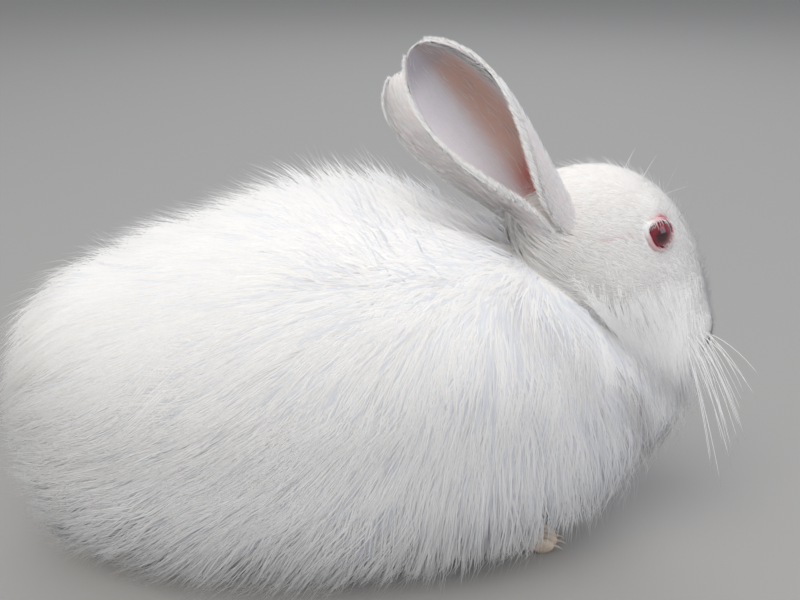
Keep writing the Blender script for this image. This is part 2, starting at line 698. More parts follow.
def clear_of_head(paths, draw):
    """Lays what would run into the head along its outside instead, each tuft at its own depth."""
    flat = paths.reshape(-1, 3)
    gap = np.repeat(draw.uniform(*OFF_HEAD, len(paths)), paths.shape[1])
    close = np.flatnonzero((flat[:, 0] > HEAD_AHEAD) & (flat[:, 2] > HEAD_ABOVE))
    near, out = nearest(surfaces["head"], flat[close])
    inside = ((flat[close] - near) * out).sum(1) < gap[close]
    flat[close[inside]] = near[inside] + out[inside] * gap[close[inside], None]
    return flat.reshape(paths.shape)


def drift(points, size):
    """A smooth wavering from about -1 to 1 over places, that changes over the given size."""
    return 1.6 * np.array([noise.noise(place) for place in (points / size).tolist()])


CREST_AT, CREST_REACH, CREST_HEIGHTS, CREST_RISE = 0.018, 0.040, (0.120, 0.140), 0.019


def brush(points):
    """Where the wool stands up in a loose crest behind the ears."""
    return np.exp(-(((points[:, 0] - CREST_AT) / CREST_REACH) ** 2)) * climb(points[:, 2], *CREST_HEIGHTS)


# The lowest and highest corners of the room round the near front toes that no wool hangs in
TOE_ROOM = np.array([(0.081, -0.075, -1.0), (0.103, -0.008, 0.021)])


def clear_of_toes(paths):
    """Which tufts leave the near front toes in sight under the hem."""
    low, high = TOE_ROOM
    return ~((paths > low) & (paths < high)).all(2).any(1)


body_grid = with_ends(body_rings, trunk_ends)
MOST_PROUD = 1.4  # how far the longest wisps stand, as a share of the wool's depth
LOCK_SPREAD, WAVE_SPREAD, UNEVEN = 0.011, 0.026, 0.22  # sizes of locks and waves, and how they differ
CREST_SHORTER, RUMP_SHORTER, RUMP_SPAN = 0.55, 0.4, (0.100, 0.150)


def wool_layer(count, length, rise, width, seed, pull=0.35, lock_size=14, tint=WHITE):
    draw = np.random.default_rng(seed)
    roots, place = roots_on(body_grid, count, lambda places: 1 - 0.8 * belly(places), draw)
    keep = outside(surfaces["head"], roots, -0.004)
    roots, place = roots[keep], place[keep]
    n = len(roots)
    crest = brush(roots) * draw.random(n)
    locks, waves = drift(roots, LOCK_SPREAD), drift(roots + 0.3, WAVE_SPREAD)
    reach = draw.uniform(*length, n) * (1 - CREST_SHORTER * crest) * (1 + UNEVEN * locks)
    reach = reach * (1 - RUMP_SHORTER * climb(-roots[:, 0], *RUMP_SPAN))
    height = wool_depth(roots) * draw.uniform(*rise, n) * (1 + UNEVEN * locks)
    height = np.minimum(height, MOST_PROUD * wool_depth(roots)) + CREST_RISE * crest
    sway = 0.55 * waves + 0.30 * locks + draw.uniform(-0.14, 0.14, n)
    paths, facing = tuft_paths(surfaces["body"], roots, wool_lie, reach, height, sway, steps=4)
    paths = clear_of_head(gather(paths, lock_size, pull, draw), draw)
    sizes, colours = draw.uniform(*width, n), coat_colour(roots, tint, draw)
    shown = clear_of_toes(paths)
    return [values[shown] for values in (paths, facing, sizes, colours, on_sheet("body", place))]


def joined(layers):
    return [np.concatenate(parts) for parts in zip(*layers)]


def add_node(material, kind, links=(), **settings):
    """Adds a node with its settings, its named inputs set to values or joined to other nodes' outputs."""
    node = material.node_tree.nodes.new(kind)
    for name, value in settings.items():
        setattr(node, name, value)
    for name, value in dict(links).items():
        if isinstance(value, bpy.types.NodeSocket):
            material.node_tree.links.new(value, node.inputs[name])
        else:
            node.inputs[name].default_value = value
    return node


def new_material(name, settings):
    """A material and its shader, with the shader's own values set."""
    material = bpy.data.materials.new(name)
    material.use_nodes = True
    shader = material.node_tree.nodes["Principled BSDF"]
    for socket, value in settings.items():
        shader.inputs[socket].default_value = value
    return material, shader


def show_tint(material, shader, amount):
    """Gives a shader the coat's own markings, darkened by an amount that another node gives."""
    tint = add_node(material, "ShaderNodeAttribute", attribute_name="tint")
    shaded = add_node(material, "ShaderNodeMix", {"Factor": 1.0}, data_type="RGBA", blend_type="MULTIPLY")
    material.node_tree.links.new(tint.outputs["Color"], shaded.inputs[6])
    material.node_tree.links.new(amount, shaded.inputs[7])
    material.node_tree.links.new(shaded.outputs[2], shader.inputs["Base Color"])


def hair_material(name, roughness, shade_root, gloss):
    """White hair: a dry soft surface that scatters light, a little duller towards the root of each tuft."""
    material, shader = new_material(name, {"Roughness": roughness, "Specular IOR Level": gloss})
    strand = add_node(material, "ShaderNodeUVMap", uv_map="strand")
    parts = add_node(material, "ShaderNodeSeparateXYZ", {"Vector": strand.outputs["UV"]})
    along = add_node(material, "ShaderNodeMapRange", {
        "Value": parts.outputs["Y"], "From Min": 0.0, "From Max": 0.7, "To Min": shade_root, "To Max": 1.0,
    })
    show_tint(material, shader, along.outputs["Result"])
    return material


# Angora wool: very fine, dry, white hair that scatters light and looks soft and dull, with no gloss
wool_finish = hair_material("angora_wool", 1.0, 0.90, 0.0)

# Each layer: tufts, their lengths, how far they stand as a share of the wool's depth, their breadths. The
# down is broad and close, the wool over it finer, the guard hairs finer still, and the last are loose wisps.
down = wool_layer(9500, (0.018, 0.030), (0.40, 0.75), (0.0020, 0.0030), SEED + 1, tint=WOOL_SHADE)
wool_down = tuft_mesh("wool_down", *down, wool_finish, 0.15)
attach(wool_down, "root")
wool = joined([
    wool_layer(21000, (0.028, 0.044), (0.65, 1.05), (0.0009, 0.0016), SEED, pull=0.40),
    wool_layer(15500, (0.028, 0.046), (0.85, 1.30), (0.0004, 0.0007), SEED + 2, pull=0.30, lock_size=9),
    wool_layer(4500, (0.022, 0.034), (1.15, 1.75), (0.00026, 0.00036), SEED + 3, pull=0.15, lock_size=4),
])
PIECE_TUFTS = 11500
order = np.argsort(wool[0][:, 0, 0], kind="stable")
for n, start in enumerate(range(0, len(order), PIECE_TUFTS)):
    part = [values[order[start : start + PIECE_TUFTS]] for values in wool]
    piece = tuft_mesh(f"wool_{n + 1}", *part, wool_finish)
    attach(piece, "root")


# The tail's own wool: short locks that fan out behind the stump.

TAIL_TUFTS, TAIL_LENGTH, TAIL_RISE, TAIL_WIDTH = 1500, 0.020, 0.007, 0.0010


def tail_lie(points):
    up = (points[:, 2] - TAIL_CENTRE[2]) * 9 - 0.25
    return unit(np.stack([-np.ones(len(points)), points[:, 1] * 6, up], 1))


def ball_grid(centre, radii, rows=16, sides=24):
    up = np.linspace(-math.pi / 2, math.pi / 2, rows)[:, None]
    turn = np.linspace(0, math.tau, sides)[None]
    flat = np.ones_like(turn)
    grid = np.stack([np.cos(up) * np.cos(turn), np.cos(up) * np.sin(turn), np.sin(up) * flat], -1)
    return centre + grid * radii


def short_layer(
    form, grid, count, length, rise, width, lie, seed,
    ground=WHITE, density=None, around=True, steps=4, sink=ROOT_SINK,
):
    """Tufts of short fur that lie flat along one form. Their sizes are fixed, or depend on the place."""
    draw = np.random.default_rng(seed)
    weigh = density or (lambda places: np.ones(places.shape[:-1]))
    roots, place = roots_on(grid, count, weigh, draw, around)
    scale = draw.uniform(0.7, 1.15, count)
    reach = length(roots) * scale if callable(length) else length * scale
    height = rise(roots) * scale if callable(rise) else rise * scale
    sway = 0.5 * drift(roots, 0.009) + draw.uniform(-0.3, 0.3, count)
    paths, facing = tuft_paths(surfaces[form], roots, lie, reach, height, sway, steps=steps, sink=sink)
    paths = gather(paths, 6, 0.2, draw)
    sizes = draw.uniform(0.8, 1.25, count) * (width(roots) if callable(width) else width)
    return paths, facing, sizes, coat_colour(roots, ground, draw), place


tail_grid = ball_grid(TAIL_CENTRE, TAIL_RADII)
layer = short_layer(
    "tail", tail_grid, TAIL_TUFTS, TAIL_LENGTH, TAIL_RISE, TAIL_WIDTH, tail_lie, SEED + 4, around=False,
)
tail_wool = tuft_mesh("tail_wool", *layer[:4], on_sheet("tail", layer[4]), wool_finish)
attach(tail_wool, "root")


# The face: dense white fur, three millimetres long on the muzzle and seven on the crown and cheeks, that
# runs back from the nose. It parts round the eyes and at the nose, where the skin is bare and pink.

CREAM, PINK_SKIN = "#FAF7F3", "#DB9A9C"
FACE_TUFTS, FACE_WISPS, FACE_SINK = 20000, 3500, 0.0004
LONG_FUR, MUZZLE_SHORTER, NAPE_LONGER, JAW_LONGER = 0.0072, 0.0040, 0.0080, 0.004
LIE_FLAT, WISP_FLAT = 0.27, 0.75  # how far the fur and its loose hairs rise, as shares of their length
WISP_WIDTH = 0.00024
BARE_LID, BARE_NOSE = (0.0080, 0.0091), (0.0030, 0.0050)
CORNER_BACK = (0.0085, 0.015, 0.024)  # how far behind the eye its crease runs

EYES = {name: [np.array(corner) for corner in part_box(name)] for name in ("eye_right", "eye_left")}
EYE_CENTRES = {name: (low + high) / 2 for name, (low, high) in EYES.items()}
EYE_RADIUS = (EYES["eye_right"][1] - EYES["eye_right"][0]).max() / 2
NOSE = in_head((0.0822, 0.0, -0.0400))


def to_head(points):
    return (points - HEAD_ROOT) @ HEAD_TURN


def under_cheek(forward, up):
    return climb(up, -0.012, -0.036) * climb(forward, 0.074, 0.052)


def face_lie(points):
    forward, left, up = to_head(points).T
    side = np.sign(left)
    jaw, crown = under_cheek(forward, up), climb(up, 0.000, 0.020)
    ahead, out, rise = -0.87 - 0.1 * crown + 0.80 * jaw, 0.15 + 0.2 * jaw, 0.42 - 1.3 * jaw - 0.25 * crown
    return unit(np.stack([ahead, side * out, rise], 1)) @ HEAD_TURN.T


def eye_corner_line(centre):
    """The fine crease that runs back from an eye's rear corner."""
    forward, left, up = to_head(centre)
    line = in_head([(forward - back, math.copysign(0.030, left), up + 0.0010) for back in CORNER_BACK])
    return nearest(surfaces["head"], line)[0]


def bare_face(points):
    """Where the face has no fur: the eyes with their rims, and the tip of the nose."""
    bare = np.zeros(points.shape[:-1])
    for centre in EYE_CENTRES.values():
        bare = np.maximum(bare, 1 - climb(np.linalg.norm(points - centre, axis=-1), *BARE_LID))
        flat = points.reshape(-1, 3)
        parting = near_line(flat, eye_corner_line(centre), 0.0010).reshape(bare.shape)
        bare = np.maximum(bare, 0.6 * parting)
    return np.maximum(bare, 1 - climb(np.linalg.norm(points - NOSE, axis=-1), *BARE_NOSE))


def face_length(points):
    forward, _, up = to_head(points).T
    muzzle = np.exp(-(((forward - 0.080) ** 2 + (up + 0.045) ** 2) / 0.020**2))
    longer = NAPE_LONGER * climb(forward, 0.022, 0.002)
    return LONG_FUR - MUZZLE_SHORTER * muzzle + longer + JAW_LONGER * under_cheek(forward, up)


def face_rise(points):
    return face_length(points) * LIE_FLAT


def wisp_rise(points):
    return face_length(points) * WISP_FLAT


def face_width(points):
    return 0.00034 + face_length(points) * 0.035


def face_density(places):
    lengths = face_length(places.reshape(-1, 3)).reshape(places.shape[:-1])
    return (1.0001 - bare_face(places)) * (LONG_FUR / lengths) ** 1.4


layer = short_layer(
    "head", with_ends(face_rings, head_ends), FACE_TUFTS, face_length, face_rise, face_width, face_lie,
    SEED + 5, CREAM, face_density, steps=3, sink=FACE_SINK,
)
wisps = short_layer(
    "head", face_rings, FACE_WISPS, face_length, wisp_rise, WISP_WIDTH, face_lie,
    SEED + 6, density=face_density, steps=3, sink=FACE_SINK,
)
layer = joined([layer, wisps])
for centre in EYE_CENTRES.values():
    in_crease = near_line(layer[0][:, 0], eye_corner_line(centre), 0.0011)
    layer[3] = mixed(layer[3], PINK_SKIN, 0.35 * in_crease)
in_sight = outside(surfaces["body"], layer[0][:, 0], -0.004)
layer = [values[in_sight] for values in layer]
# White guard hair over close down: too fine to shine, a little brighter than the wool
fur_finish = hair_material("white_short_fur", 0.9, 0.92, 0.0)
right = layer[0][:, 0, 1] < in_head((0.04, 0.0, 0.0))[1]
for word, half in (("face_fur_right", right), ("face_fur_left", ~right)):
    *look, place = [values[half] for values in layer]
    face_fur = tuft_mesh(word, *look, on_sheet("head", place), fur_finish, 0.8)
    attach(face_fur, "root")


# The ruff: long locks that are rooted along the cheeks and jaw and hang over the chest's wool.

RUFF_TUFTS, RUFF_LENGTH, RUFF_WIDTH = 7000, (0.018, 0.034), (0.0003, 0.0007)
RUFF_OFF_HEAD, RUFF_OFF_BODY = 0.0010, 0.0085  # how far the locks' tips lie off each skin


def cheek_density(places):
    forward, _, up = np.moveaxis(to_head(places), -1, 0)
    return 1e-6 + climb(up, -0.004, -0.030) * climb(forward, 0.074, 0.054) * climb(forward, 0.000, 0.014)


def ruff_layer():
    draw = np.random.default_rng(SEED + 7)
    roots, place = roots_on(face_rings, RUFF_TUFTS, cheek_density, draw)
    roots, place = [values[outside(surfaces["body"], roots, -0.002)] for values in (roots, place)]
    near, out = nearest(surfaces["head"], roots)
    n = len(roots)
    waves, locks = drift(roots, 0.020), drift(roots, 0.008)
    reach = draw.uniform(*RUFF_LENGTH, n) * (1 + 0.2 * locks)
    reach = reach * (0.25 + 0.75 * climb(to_head(roots)[:, 2], -0.006, -0.044))
    ways = np.stack([0.34 + 0.30 * waves, np.sign(roots[:, 1]) * 0.15 + 0.1 * locks, np.full(n, -0.92)], 1)
    ways = unit(ways + 0.10 * draw.standard_normal((n, 3)) + out * 0.05)
    share = np.linspace(0, 1, 4)
    paths = near[:, None] + ways[:, None] * reach[:, None, None] * share[:, None] - out[:, None] * 0.001
    facing = np.repeat(out[:, None], 4, 1)
    for name, gap in (("head", RUFF_OFF_HEAD), ("body", RUFF_OFF_BODY)):
        for step in (1, 2, 3):
            close, away = nearest(surfaces[name], paths[:, step])
            room = gap * draw.uniform(0.8, 1.4, n) * share[step] ** 0.5
            short = np.maximum(room - ((paths[:, step] - close) * away).sum(1), 0)
            paths[:, step] += away * short[:, None]
            facing[:, step] = unit(facing[:, step] + away)
    paths = gather(paths, 10, 0.35, draw)
    widths = draw.uniform(*RUFF_WIDTH, n)
    return paths, facing, widths, coat_colour(roots, WHITE, draw), on_sheet("head", place)


ruff = tuft_mesh("ruff", *ruff_layer(), wool_finish)
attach(ruff, "root")


# The fur of the ears: a short close coat on the backs, fine sparse hair in the cups, and a thick white
# fringe along both rims.

CUPS = {"ear_right": "cup_right", "ear_left": "cup_left"}
# Tufts, length, rise, breadth and sink of the fur on an ear's back, in its cup, and along the cup's front
EAR_BACK = (4300, 0.0052, 0.0009, 0.0006, 0.0003)
EAR_CUP = (450, 0.0075, 0.0008, 0.00024, 0.0002)
EAR_BAND = (800, 0.0068, 0.0012, 0.0006, 0.0003)
FRINGE_TUFTS, FRINGE_LENGTH, FRINGE_WIDTH = 1500, (0.0050, 0.0085), (0.0004, 0.0008)
FRINGE_SPREAD = (0.06, 0.28)  # how far the fringe leans out from the rim


def ear_lie_of(along, grid):
    rows = grid.mean(1)

    def lie(points):
        row = ((points[:, None] - rows[None]) ** 2).sum(-1).argmin(1)
        return along[row]

    return lie


def rim_fringe(name, edge, count, draw):
    """Locks that are rooted across an ear's cut rim and lie along it, a little outwards."""
    outer, inner, along = ear_sheets(name)
    step = 1 if edge == 0 else -2
    away = unit(outer[:, edge] - outer[:, step])
    row, across = draw.integers(0, EAR_ROWS - 2, count), draw.random((count, 1))
    share = draw.random((count, 1))
    low, high = [inner[at, edge] * across + outer[at, edge] * (1 - across) for at in (row, row + 1)]
    roots = low * (1 - share) + high * share - away[row] * 0.0008
    reach = draw.uniform(*FRINGE_LENGTH, (count, 1)) * (1 - 0.65 * climb(row[:, None], 26, 42))
    ways = unit(along[row] + away[row] * draw.uniform(*FRINGE_SPREAD, (count, 1)))
    paths = roots[:, None] + (ways * reach)[:, None] * np.linspace(0, 1, 4)[:, None]
    facing = unit(away[row] * 0.7 + (outer - inner)[row, edge] / EAR_WALL * (0.8 - across))
    place = np.column_stack([row / EAR_ROWS, 0.95 - 0.95 * (edge == 0) + 0.05 * across[:, 0]])
    widths = draw.uniform(*FRINGE_WIDTH, count)
    facing = np.repeat(facing[:, None], 4, 1)
    return paths, facing, widths, coat_colour(roots, WHITE, draw), on_sheet(name, place)


def ear_layer(name, sheet, sizes, lie, seed, steps, form, span=(1, 1)):
    count, length, rise, width, sink = sizes
    layer = short_layer(
        name, sheet, count, length, rise, width, lie, seed, around=False, steps=steps, sink=sink,
    )
    return (*layer[:4], on_sheet(form, layer[4] * span))


ear_layers = []
for n, name in enumerate(EARS):
    outer, inner, along = ear_sheets(name)
    lie = ear_lie_of(along, outer)
    seed = SEED + 10 + 5 * n
    band = inner[:, 1:6] if name == "ear_right" else inner[:, -6:-1]
    ear_layers.append(ear_layer(name, outer, EAR_BACK, lie, seed, 3, name))
    ear_layers.append(ear_layer(name, inner, EAR_CUP, lie, seed + 1, 3, CUPS[name]))
    ear_layers.append(ear_layer(name, band, EAR_BAND, lie, seed + 2, 4, CUPS[name], (1, 0.2)))
    draw = np.random.default_rng(seed + 3)
    ear_layers += [rim_fringe(name, edge, FRINGE_TUFTS, draw) for edge in (0, -1)]
for steps, word, own_shade in ((3, "ear_fur", 0.9), (4, "ear_fringe", 1.0)):
    same = joined([layer for layer in ear_layers if layer[0].shape[1] == steps])
    clear = outside(surfaces["head"], same[0][:, 0], -0.001)
    piece = tuft_mesh(word, *[values[clear] for values in same], fur_finish, own_shade)
    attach(piece, "root")


# The fur of the feet: short and close, stained a little yellow at the toes.

FOOT_TUFTS, FOOT_LENGTH, FOOT_RISE, FOOT_WIDTH, FOOT_SINK = 800, 0.0050, 0.0008, 0.0008, 0.0004


def foot_lie(points):
    return np.tile((1.0, 0.0, -0.35), (len(points), 1))


foot_layers = []
for n, (name, (foot, _, side)) in enumerate(LEGS.items()):
    layer = short_layer(
        name, foot_rings(foot, side), FOOT_TUFTS, FOOT_LENGTH, FOOT_RISE, FOOT_WIDTH, foot_lie,
        SEED + 30 + n, CREAM, steps=3, sink=FOOT_SINK,
    )
    foot_layers.append((*layer[:4], on_sheet(name, layer[4])))
foot_fur = tuft_mesh("foot_fur", *joined(foot_layers), fur_finish)
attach(foot_fur, "root")


# The whiskers and brow hairs: stiff white hairs, rooted in the whisker pads beside the nose and above the
# eyes. Each droops forward and outward under its own weight. The lashes are rooted later, on the lids.

WHISKER_THICK, BROW_THICK = 0.000544, 0.000272
WHISKERS_END = 0.1725  # how far forward the whiskers may reach
WHISKER_ROWS, WHISKERS_EACH, BROW_HAIRS = 4, 6, 5
HAIR_SINK = 0.001


def long_hairs(starts, ways, lengths, droop, steps=9):
    """Paths of single hairs that leave in the given ways and sag towards their tips."""
    share = np.linspace(0, 1, steps)[None, :, None]
    run = starts[:, None] + unit(ways)[:, None] * lengths[:, None, None] * share
    paths = run + np.array((0, 0, -1.0)) * (droop * lengths)[:, None, None] * share**2
    across = np.cross(unit(ways), (0.0, 0.0, 1.0))
    facing = np.repeat(unit(np.cross(across, ways))[:, None], steps, 1)
    return paths, facing


def hair_root(place):
    """Just under the skin nearest to a place that is given in the head's frame."""
    near, out = nearest(surfaces["head"], in_head(place)[None])
    return near[0] - out[0] * HAIR_SINK


def white_tints(paths):
    return np.tile(linear(WHITE), (len(paths), 1))


draw = np.random.default_rng(SEED + 50)
starts, ways, lengths, droops, thick = [], [], [], [], []
for side in (-1, 1):
    for row in range(WHISKER_ROWS):
        for n in range(WHISKERS_EACH):
            starts.append(hair_root((0.0800 - 0.0034 * n, side * 0.030, -0.0420 - 0.0032 * row)))
            ahead = 0.55 - 0.10 * n + 0.12 * draw.standard_normal()
            way = (ahead, side * (0.60 + 0.1 * n), -0.20 - 0.30 * row + 0.12 * draw.standard_normal())
            ways.append(HEAD_TURN @ np.array(way))
            lengths.append(0.026 + 0.0035 * n + 0.008 * draw.random())
            droops.append(0.25 + 0.2 * draw.random())
            thick.append(WHISKER_THICK)
    for n in range(BROW_HAIRS):
        starts.append(hair_root((0.046 + 0.005 * n, side * 0.022, 0.022 - 0.005 * n)))
        way = HEAD_TURN @ np.array((0.55 - 0.2 * n, side * 0.45, 0.8))
        ways.append(way + 0.2 * draw.standard_normal(3))
        lengths.append(0.014 + 0.014 * draw.random())
        droops.append(0.15)
        thick.append(BROW_THICK)
paths, facing = long_hairs(np.array(starts), np.array(ways), np.array(lengths), np.array(droops))
past = np.maximum(paths[:, :, 0].max(1) - WHISKERS_END, 0) / (paths[:, -1, 0] - paths[:, 0, 0] + 1e-6)
paths[:, :, 0] -= (paths[:, :, 0] - paths[:, :1, 0]) * np.clip(past, 0, 1)[:, None]
place = np.column_stack([np.linspace(0.7, 0.95, len(paths)), np.linspace(0.1, 0.9, len(paths))])
# A whisker is one thick, smooth, springy white hair that catches the light along its length
whisker_finish = hair_material("white_whisker_hair", 0.35, 1.0, 0.4)
patches = on_sheet("head", place)
whiskers = tuft_mesh(
    "whiskers", paths, facing, np.array(thick), white_tints(paths), patches, whisker_finish, 1.0,
)
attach(whiskers, "root")


# The eyes: an albino's, clear over an iris with no dark colour, so the blood behind shows deep ruby.
# Each is a wet ball set in its socket, and only its outer third shows between the lids.

EYE_LINE = {"eye_right": (0.10, -1.0, 0.08), "eye_left": (0.10, 1.0, 0.08)}
EYE_GAP, SOCKET_GAP = 0.00015, 0.0001  # from the eye's own size in to the ball and out to the socket
IRIS_EDGE = 1.15  # the angle from the pupil's middle to the white, in radians


def ruby_finish():
    """A wet cornea: glossy and clear, dark ruby at the pupil and brighter towards the rim of the iris."""
    material, shader = new_material("wet_ruby_eye", {
        "Roughness": 0.06, "Coat Weight": 1.0, "Coat Roughness": 0.02,
    })
    away = add_node(material, "ShaderNodeAttribute", attribute_name="from_pupil")
    place = add_node(material, "ShaderNodeTexCoord")
    streaks = add_node(material, "ShaderNodeTexNoise", {
        "Vector": place.outputs["Object"], "Scale": 2600.0, "Detail": 3.0,
    })
    uneven = add_node(material, "ShaderNodeMath", {
        0: streaks.outputs["Fac"], 1: 0.12, 2: away.outputs["Fac"],
    }, operation="MULTIPLY_ADD")
    ramp = add_node(material, "ShaderNodeValToRGB", {"Fac": uneven.outputs[0]})
    stops = ((0.00, "#2A030A"), (0.34, "#430611"), (0.46, "#7D0D26"), (0.72, "#8E1530"), (0.86, "#3A0813"))
    band = ramp.color_ramp.elements
    band[0].position, band[1].position = stops[0][0], stops[-1][0]
    for position, _ in stops[1:-1]:
        band.new(position)
    for element, (_, code) in zip(band, stops):
        element.color = (*linear(code), 1.0)
    material.node_tree.links.new(ramp.outputs["Color"], shader.inputs["Base Color"])
    return material


ruby = ruby_finish()
for name, centre in EYE_CENTRES.items():
    eye = ball(name + "_ball", centre, [EYE_RADIUS - EYE_GAP] * 3, 64)
    looks = unit(HEAD_TURN @ np.array(EYE_LINE[name]))
    spots = np.array([corner.co[:] for corner in eye.data.vertices]) - centre
    angle = np.arccos(np.clip(unit(spots) @ looks, -1, 1))
    eye.data.attributes.new("from_pupil", "FLOAT", "POINT").data.foreach_set("value", angle / IRIS_EDGE)
    eye.data.polygons.foreach_set("use_smooth", np.ones(len(eye.data.polygons), bool))
    eye.data.materials.append(ruby)
    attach(eye, "root")
    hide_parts(name)


# The skin: head, trunk, ears, legs and tail joined in one closed surface, with lids round the eyes, a
# cleft upper lip, slit nostrils and a mouth line. It shows bare only at the rims, the nose and the cups.

DEEP_PINK = "#C0506A"
CUP_PINK, CUP_RED, CUP_LILAC, CUP_GREY = "#DDB5A7", "#CF6E68", "#EDE8EC", "#BBB5BC"
LID_POINTS, LID_SIDES = 64, 12
LID_LONG, LID_CORNER, LID_ABOVE, LID_BELOW = 0.0075, 0.30, 0.0060, 0.0066
LID_THICK, LID_THICKER = 0.00115, 0.00045  # the rim's own radius, and what the upper lid adds to it
MOUTH_UP, MOUTH_DROOP, CLEFT_TOP = -0.0535, 0.003, -0.0415
IN_FRONT = 0.095  # a place well in front of the nose
MOUTH_WIDTH, CLEFT_WIDTHS, CUT_SIDES = (0.0004, 0.0007), (0.0004, 0.0009), 10
NOSTRIL_WIDTHS = (0.0005, 0.0009, 0.0010, 0.0008, 0.0005)


def lid_rim(name):
    """The almond rim of bare lid round an eye, drawn out at its rear corner."""
    centre = EYE_CENTRES[name]
    _, out = nearest(surfaces["head"], centre[None])
    out = out[0]
    ahead = HEAD_TURN @ np.array((0.94, 0.0, -0.34))
    ahead = unit(ahead - out * (ahead @ out))
    up = np.cross(out, ahead)
    up = up * (1 if up[2] > 0 else -1)
    turn = np.arange(LID_POINTS) * math.tau / LID_POINTS
    reach = LID_LONG * (1 + LID_CORNER * np.maximum(-np.cos(turn), 0) ** 6)
    high = np.where(np.sin(turn) > 0, LID_ABOVE, LID_BELOW)
    almond = centre + ahead * (reach * np.cos(turn))[:, None] + up * (high * np.sin(turn))[:, None]
    near, normal = nearest(surfaces["head"], almond + out * 0.006)
    tangent = unit(np.roll(near, -1, 0) - np.roll(near, 1, 0))
    across = unit(np.cross(tangent, normal))
    around = np.arange(LID_SIDES) * math.tau / LID_SIDES
    thick = LID_THICK + LID_THICKER * np.maximum(np.sin(turn), 0)
    ways = across[:, None] * np.cos(around)[:, None] + normal[:, None] * np.sin(around)[:, None]
    rings = near[:, None] + ways * thick[:, None, None]
    rim = closed("lid", rings.reshape(-1, 3), ring_faces(LID_POINTS, LID_SIDES, ringed=True))
    upper = turn < math.pi
    return rim, near[upper], up, normal[upper]


def on_face(start, way):
    """Where a line from in front of the face meets the skin."""
    return np.array(surfaces["head"].ray_cast(start.tolist(), unit(way).tolist())[0][:])


def mouth_line():
    path = []
    for n in range(-8, 9):
        share, side = abs(n) / 8, math.copysign(1, n)
        up = MOUTH_UP - MOUTH_DROOP * share
        start = in_head((IN_FRONT - 0.028 * share**1.5, side * 0.030 * share, up))
        path.append(on_face(start, in_head((0.062, side * 0.006 * share, up)) - start))
    return path


rims, lashes = [], []
for name in EYES:
    rim, upper, up, normal = lid_rim(name)
    rims.append(rim)
    lashes.append((upper, up, normal))
backwards = HEAD_TURN @ np.array((-1.0, 0.0, 0.0))
cleft = [on_face(in_head((IN_FRONT, 0.0, up)), backwards) for up in np.linspace(CLEFT_TOP, MOUTH_UP, 7)]
thin, wide = MOUTH_WIDTH
cuts = [
    tube("mouth", mouth_line(), np.r_[thin, np.full(15, wide), thin], CUT_SIDES),
    tube("cleft", cleft, np.linspace(*CLEFT_WIDTHS, 7), CUT_SIDES),
]
for side in (-1, 1):
    middle = on_face(in_head((IN_FRONT, side * 0.0042, -0.0385)), backwards)
    slant = HEAD_TURN @ np.array((0.0, side * 0.0022, 0.0)) + (0, 0, 0.0020)
    inner, outer = middle - slant + backwards * 0.0004, middle + slant + backwards * 0.0009
    cuts.append(tube("nostril", np.linspace(inner, outer, 5), NOSTRIL_WIDTHS, CUT_SIDES))
sockets = [ball("socket", centre, [EYE_RADIUS + SOCKET_GAP] * 3, 48) for centre in EYE_CENTRES.values()]
combine(skull, rims, "UNION")
combine(skull, sockets, "DIFFERENCE")
combine(skull, cuts, "DIFFERENCE")
skin = body
combine(skin, [skull, tail, *ears.values(), *legs.values()], "UNION")
skin.name = skin.data.name = "rabbit_skin"

corners = np.array([corner.co[:] for corner in skin.data.vertices])
colours = coat_colour(corners, WHITE, np.random.default_rng(SEED + 60), 0.0)
for centre in EYE_CENTRES.values():
    away = np.linalg.norm(corners - centre, axis=1)
    colours = mixed(colours, PINK_SKIN, 0.7 * climb(away, 0.0098, 0.0086))
    colours = mixed(colours, DEEP_PINK, climb(away, 0.0086, 0.0077))
away = np.linalg.norm((corners - NOSE) * (1, 1, 0.8), axis=1)
colours = mixed(colours, PINK_SKIN, 0.55 * climb(away, 0.0075, 0.0040))
lips = near_line(corners, np.array(mouth_line()), 0.0013) + near_line(corners, np.array(cleft), 0.0011)
colours = mixed(colours, DEEP_PINK, 0.40 * np.clip(lips, 0, 1))
for name in EARS:
    outer, inner, _ = ear_sheets(name)
    spots = KDTree(EAR_ROWS * EAR_ARC * 2)
    for n, spot in enumerate(np.concatenate([inner, outer]).reshape(-1, 3)):
        spots.insert(spot, n)
    spots.balance()
    found = [spots.find(corner) for corner in corners.tolist()]
    which = np.array([hit[1] for hit in found])
    close = np.array([hit[2] for hit in found]) < 0.0022
    in_cup = close & (which < EAR_ROWS * EAR_ARC)
    row, arc = (which % (EAR_ROWS * EAR_ARC)) // EAR_ARC, which % EAR_ARC
    share, turned = row / (EAR_ROWS - 1), arc / (EAR_ARC - 1) * 2 - 1
    if name == "ear_left":
        turned = -turned
    channel = np.exp(-(((turned + 0.22) / 0.34) ** 4))
    tip = 0.75 * climb(share, 0.72, 0.90) * climb(turned, -0.8, -0.4)
    deep = channel * climb(share, 0.30, 0.14)
    for code, strength in ((CUP_LILAC, 1.0), (CUP_PINK, channel), (CUP_GREY, tip), (CUP_RED, deep)):
        colours = mixed(colours, code, in_cup * strength)
    colours = mixed(colours, PINK_SKIN, 0.24 * (close & ~in_cup))
shades = np.ones((len(corners), 4))
shades[:, :3] = np.clip(colours, 0, 1)
skin.data.color_attributes.new("tint", "FLOAT_COLOR", "POINT").data.foreach_set("color", shades.ravel())
skin.data.polygons.foreach_set("use_smooth", np.ones(len(skin.data.polygons), bool))

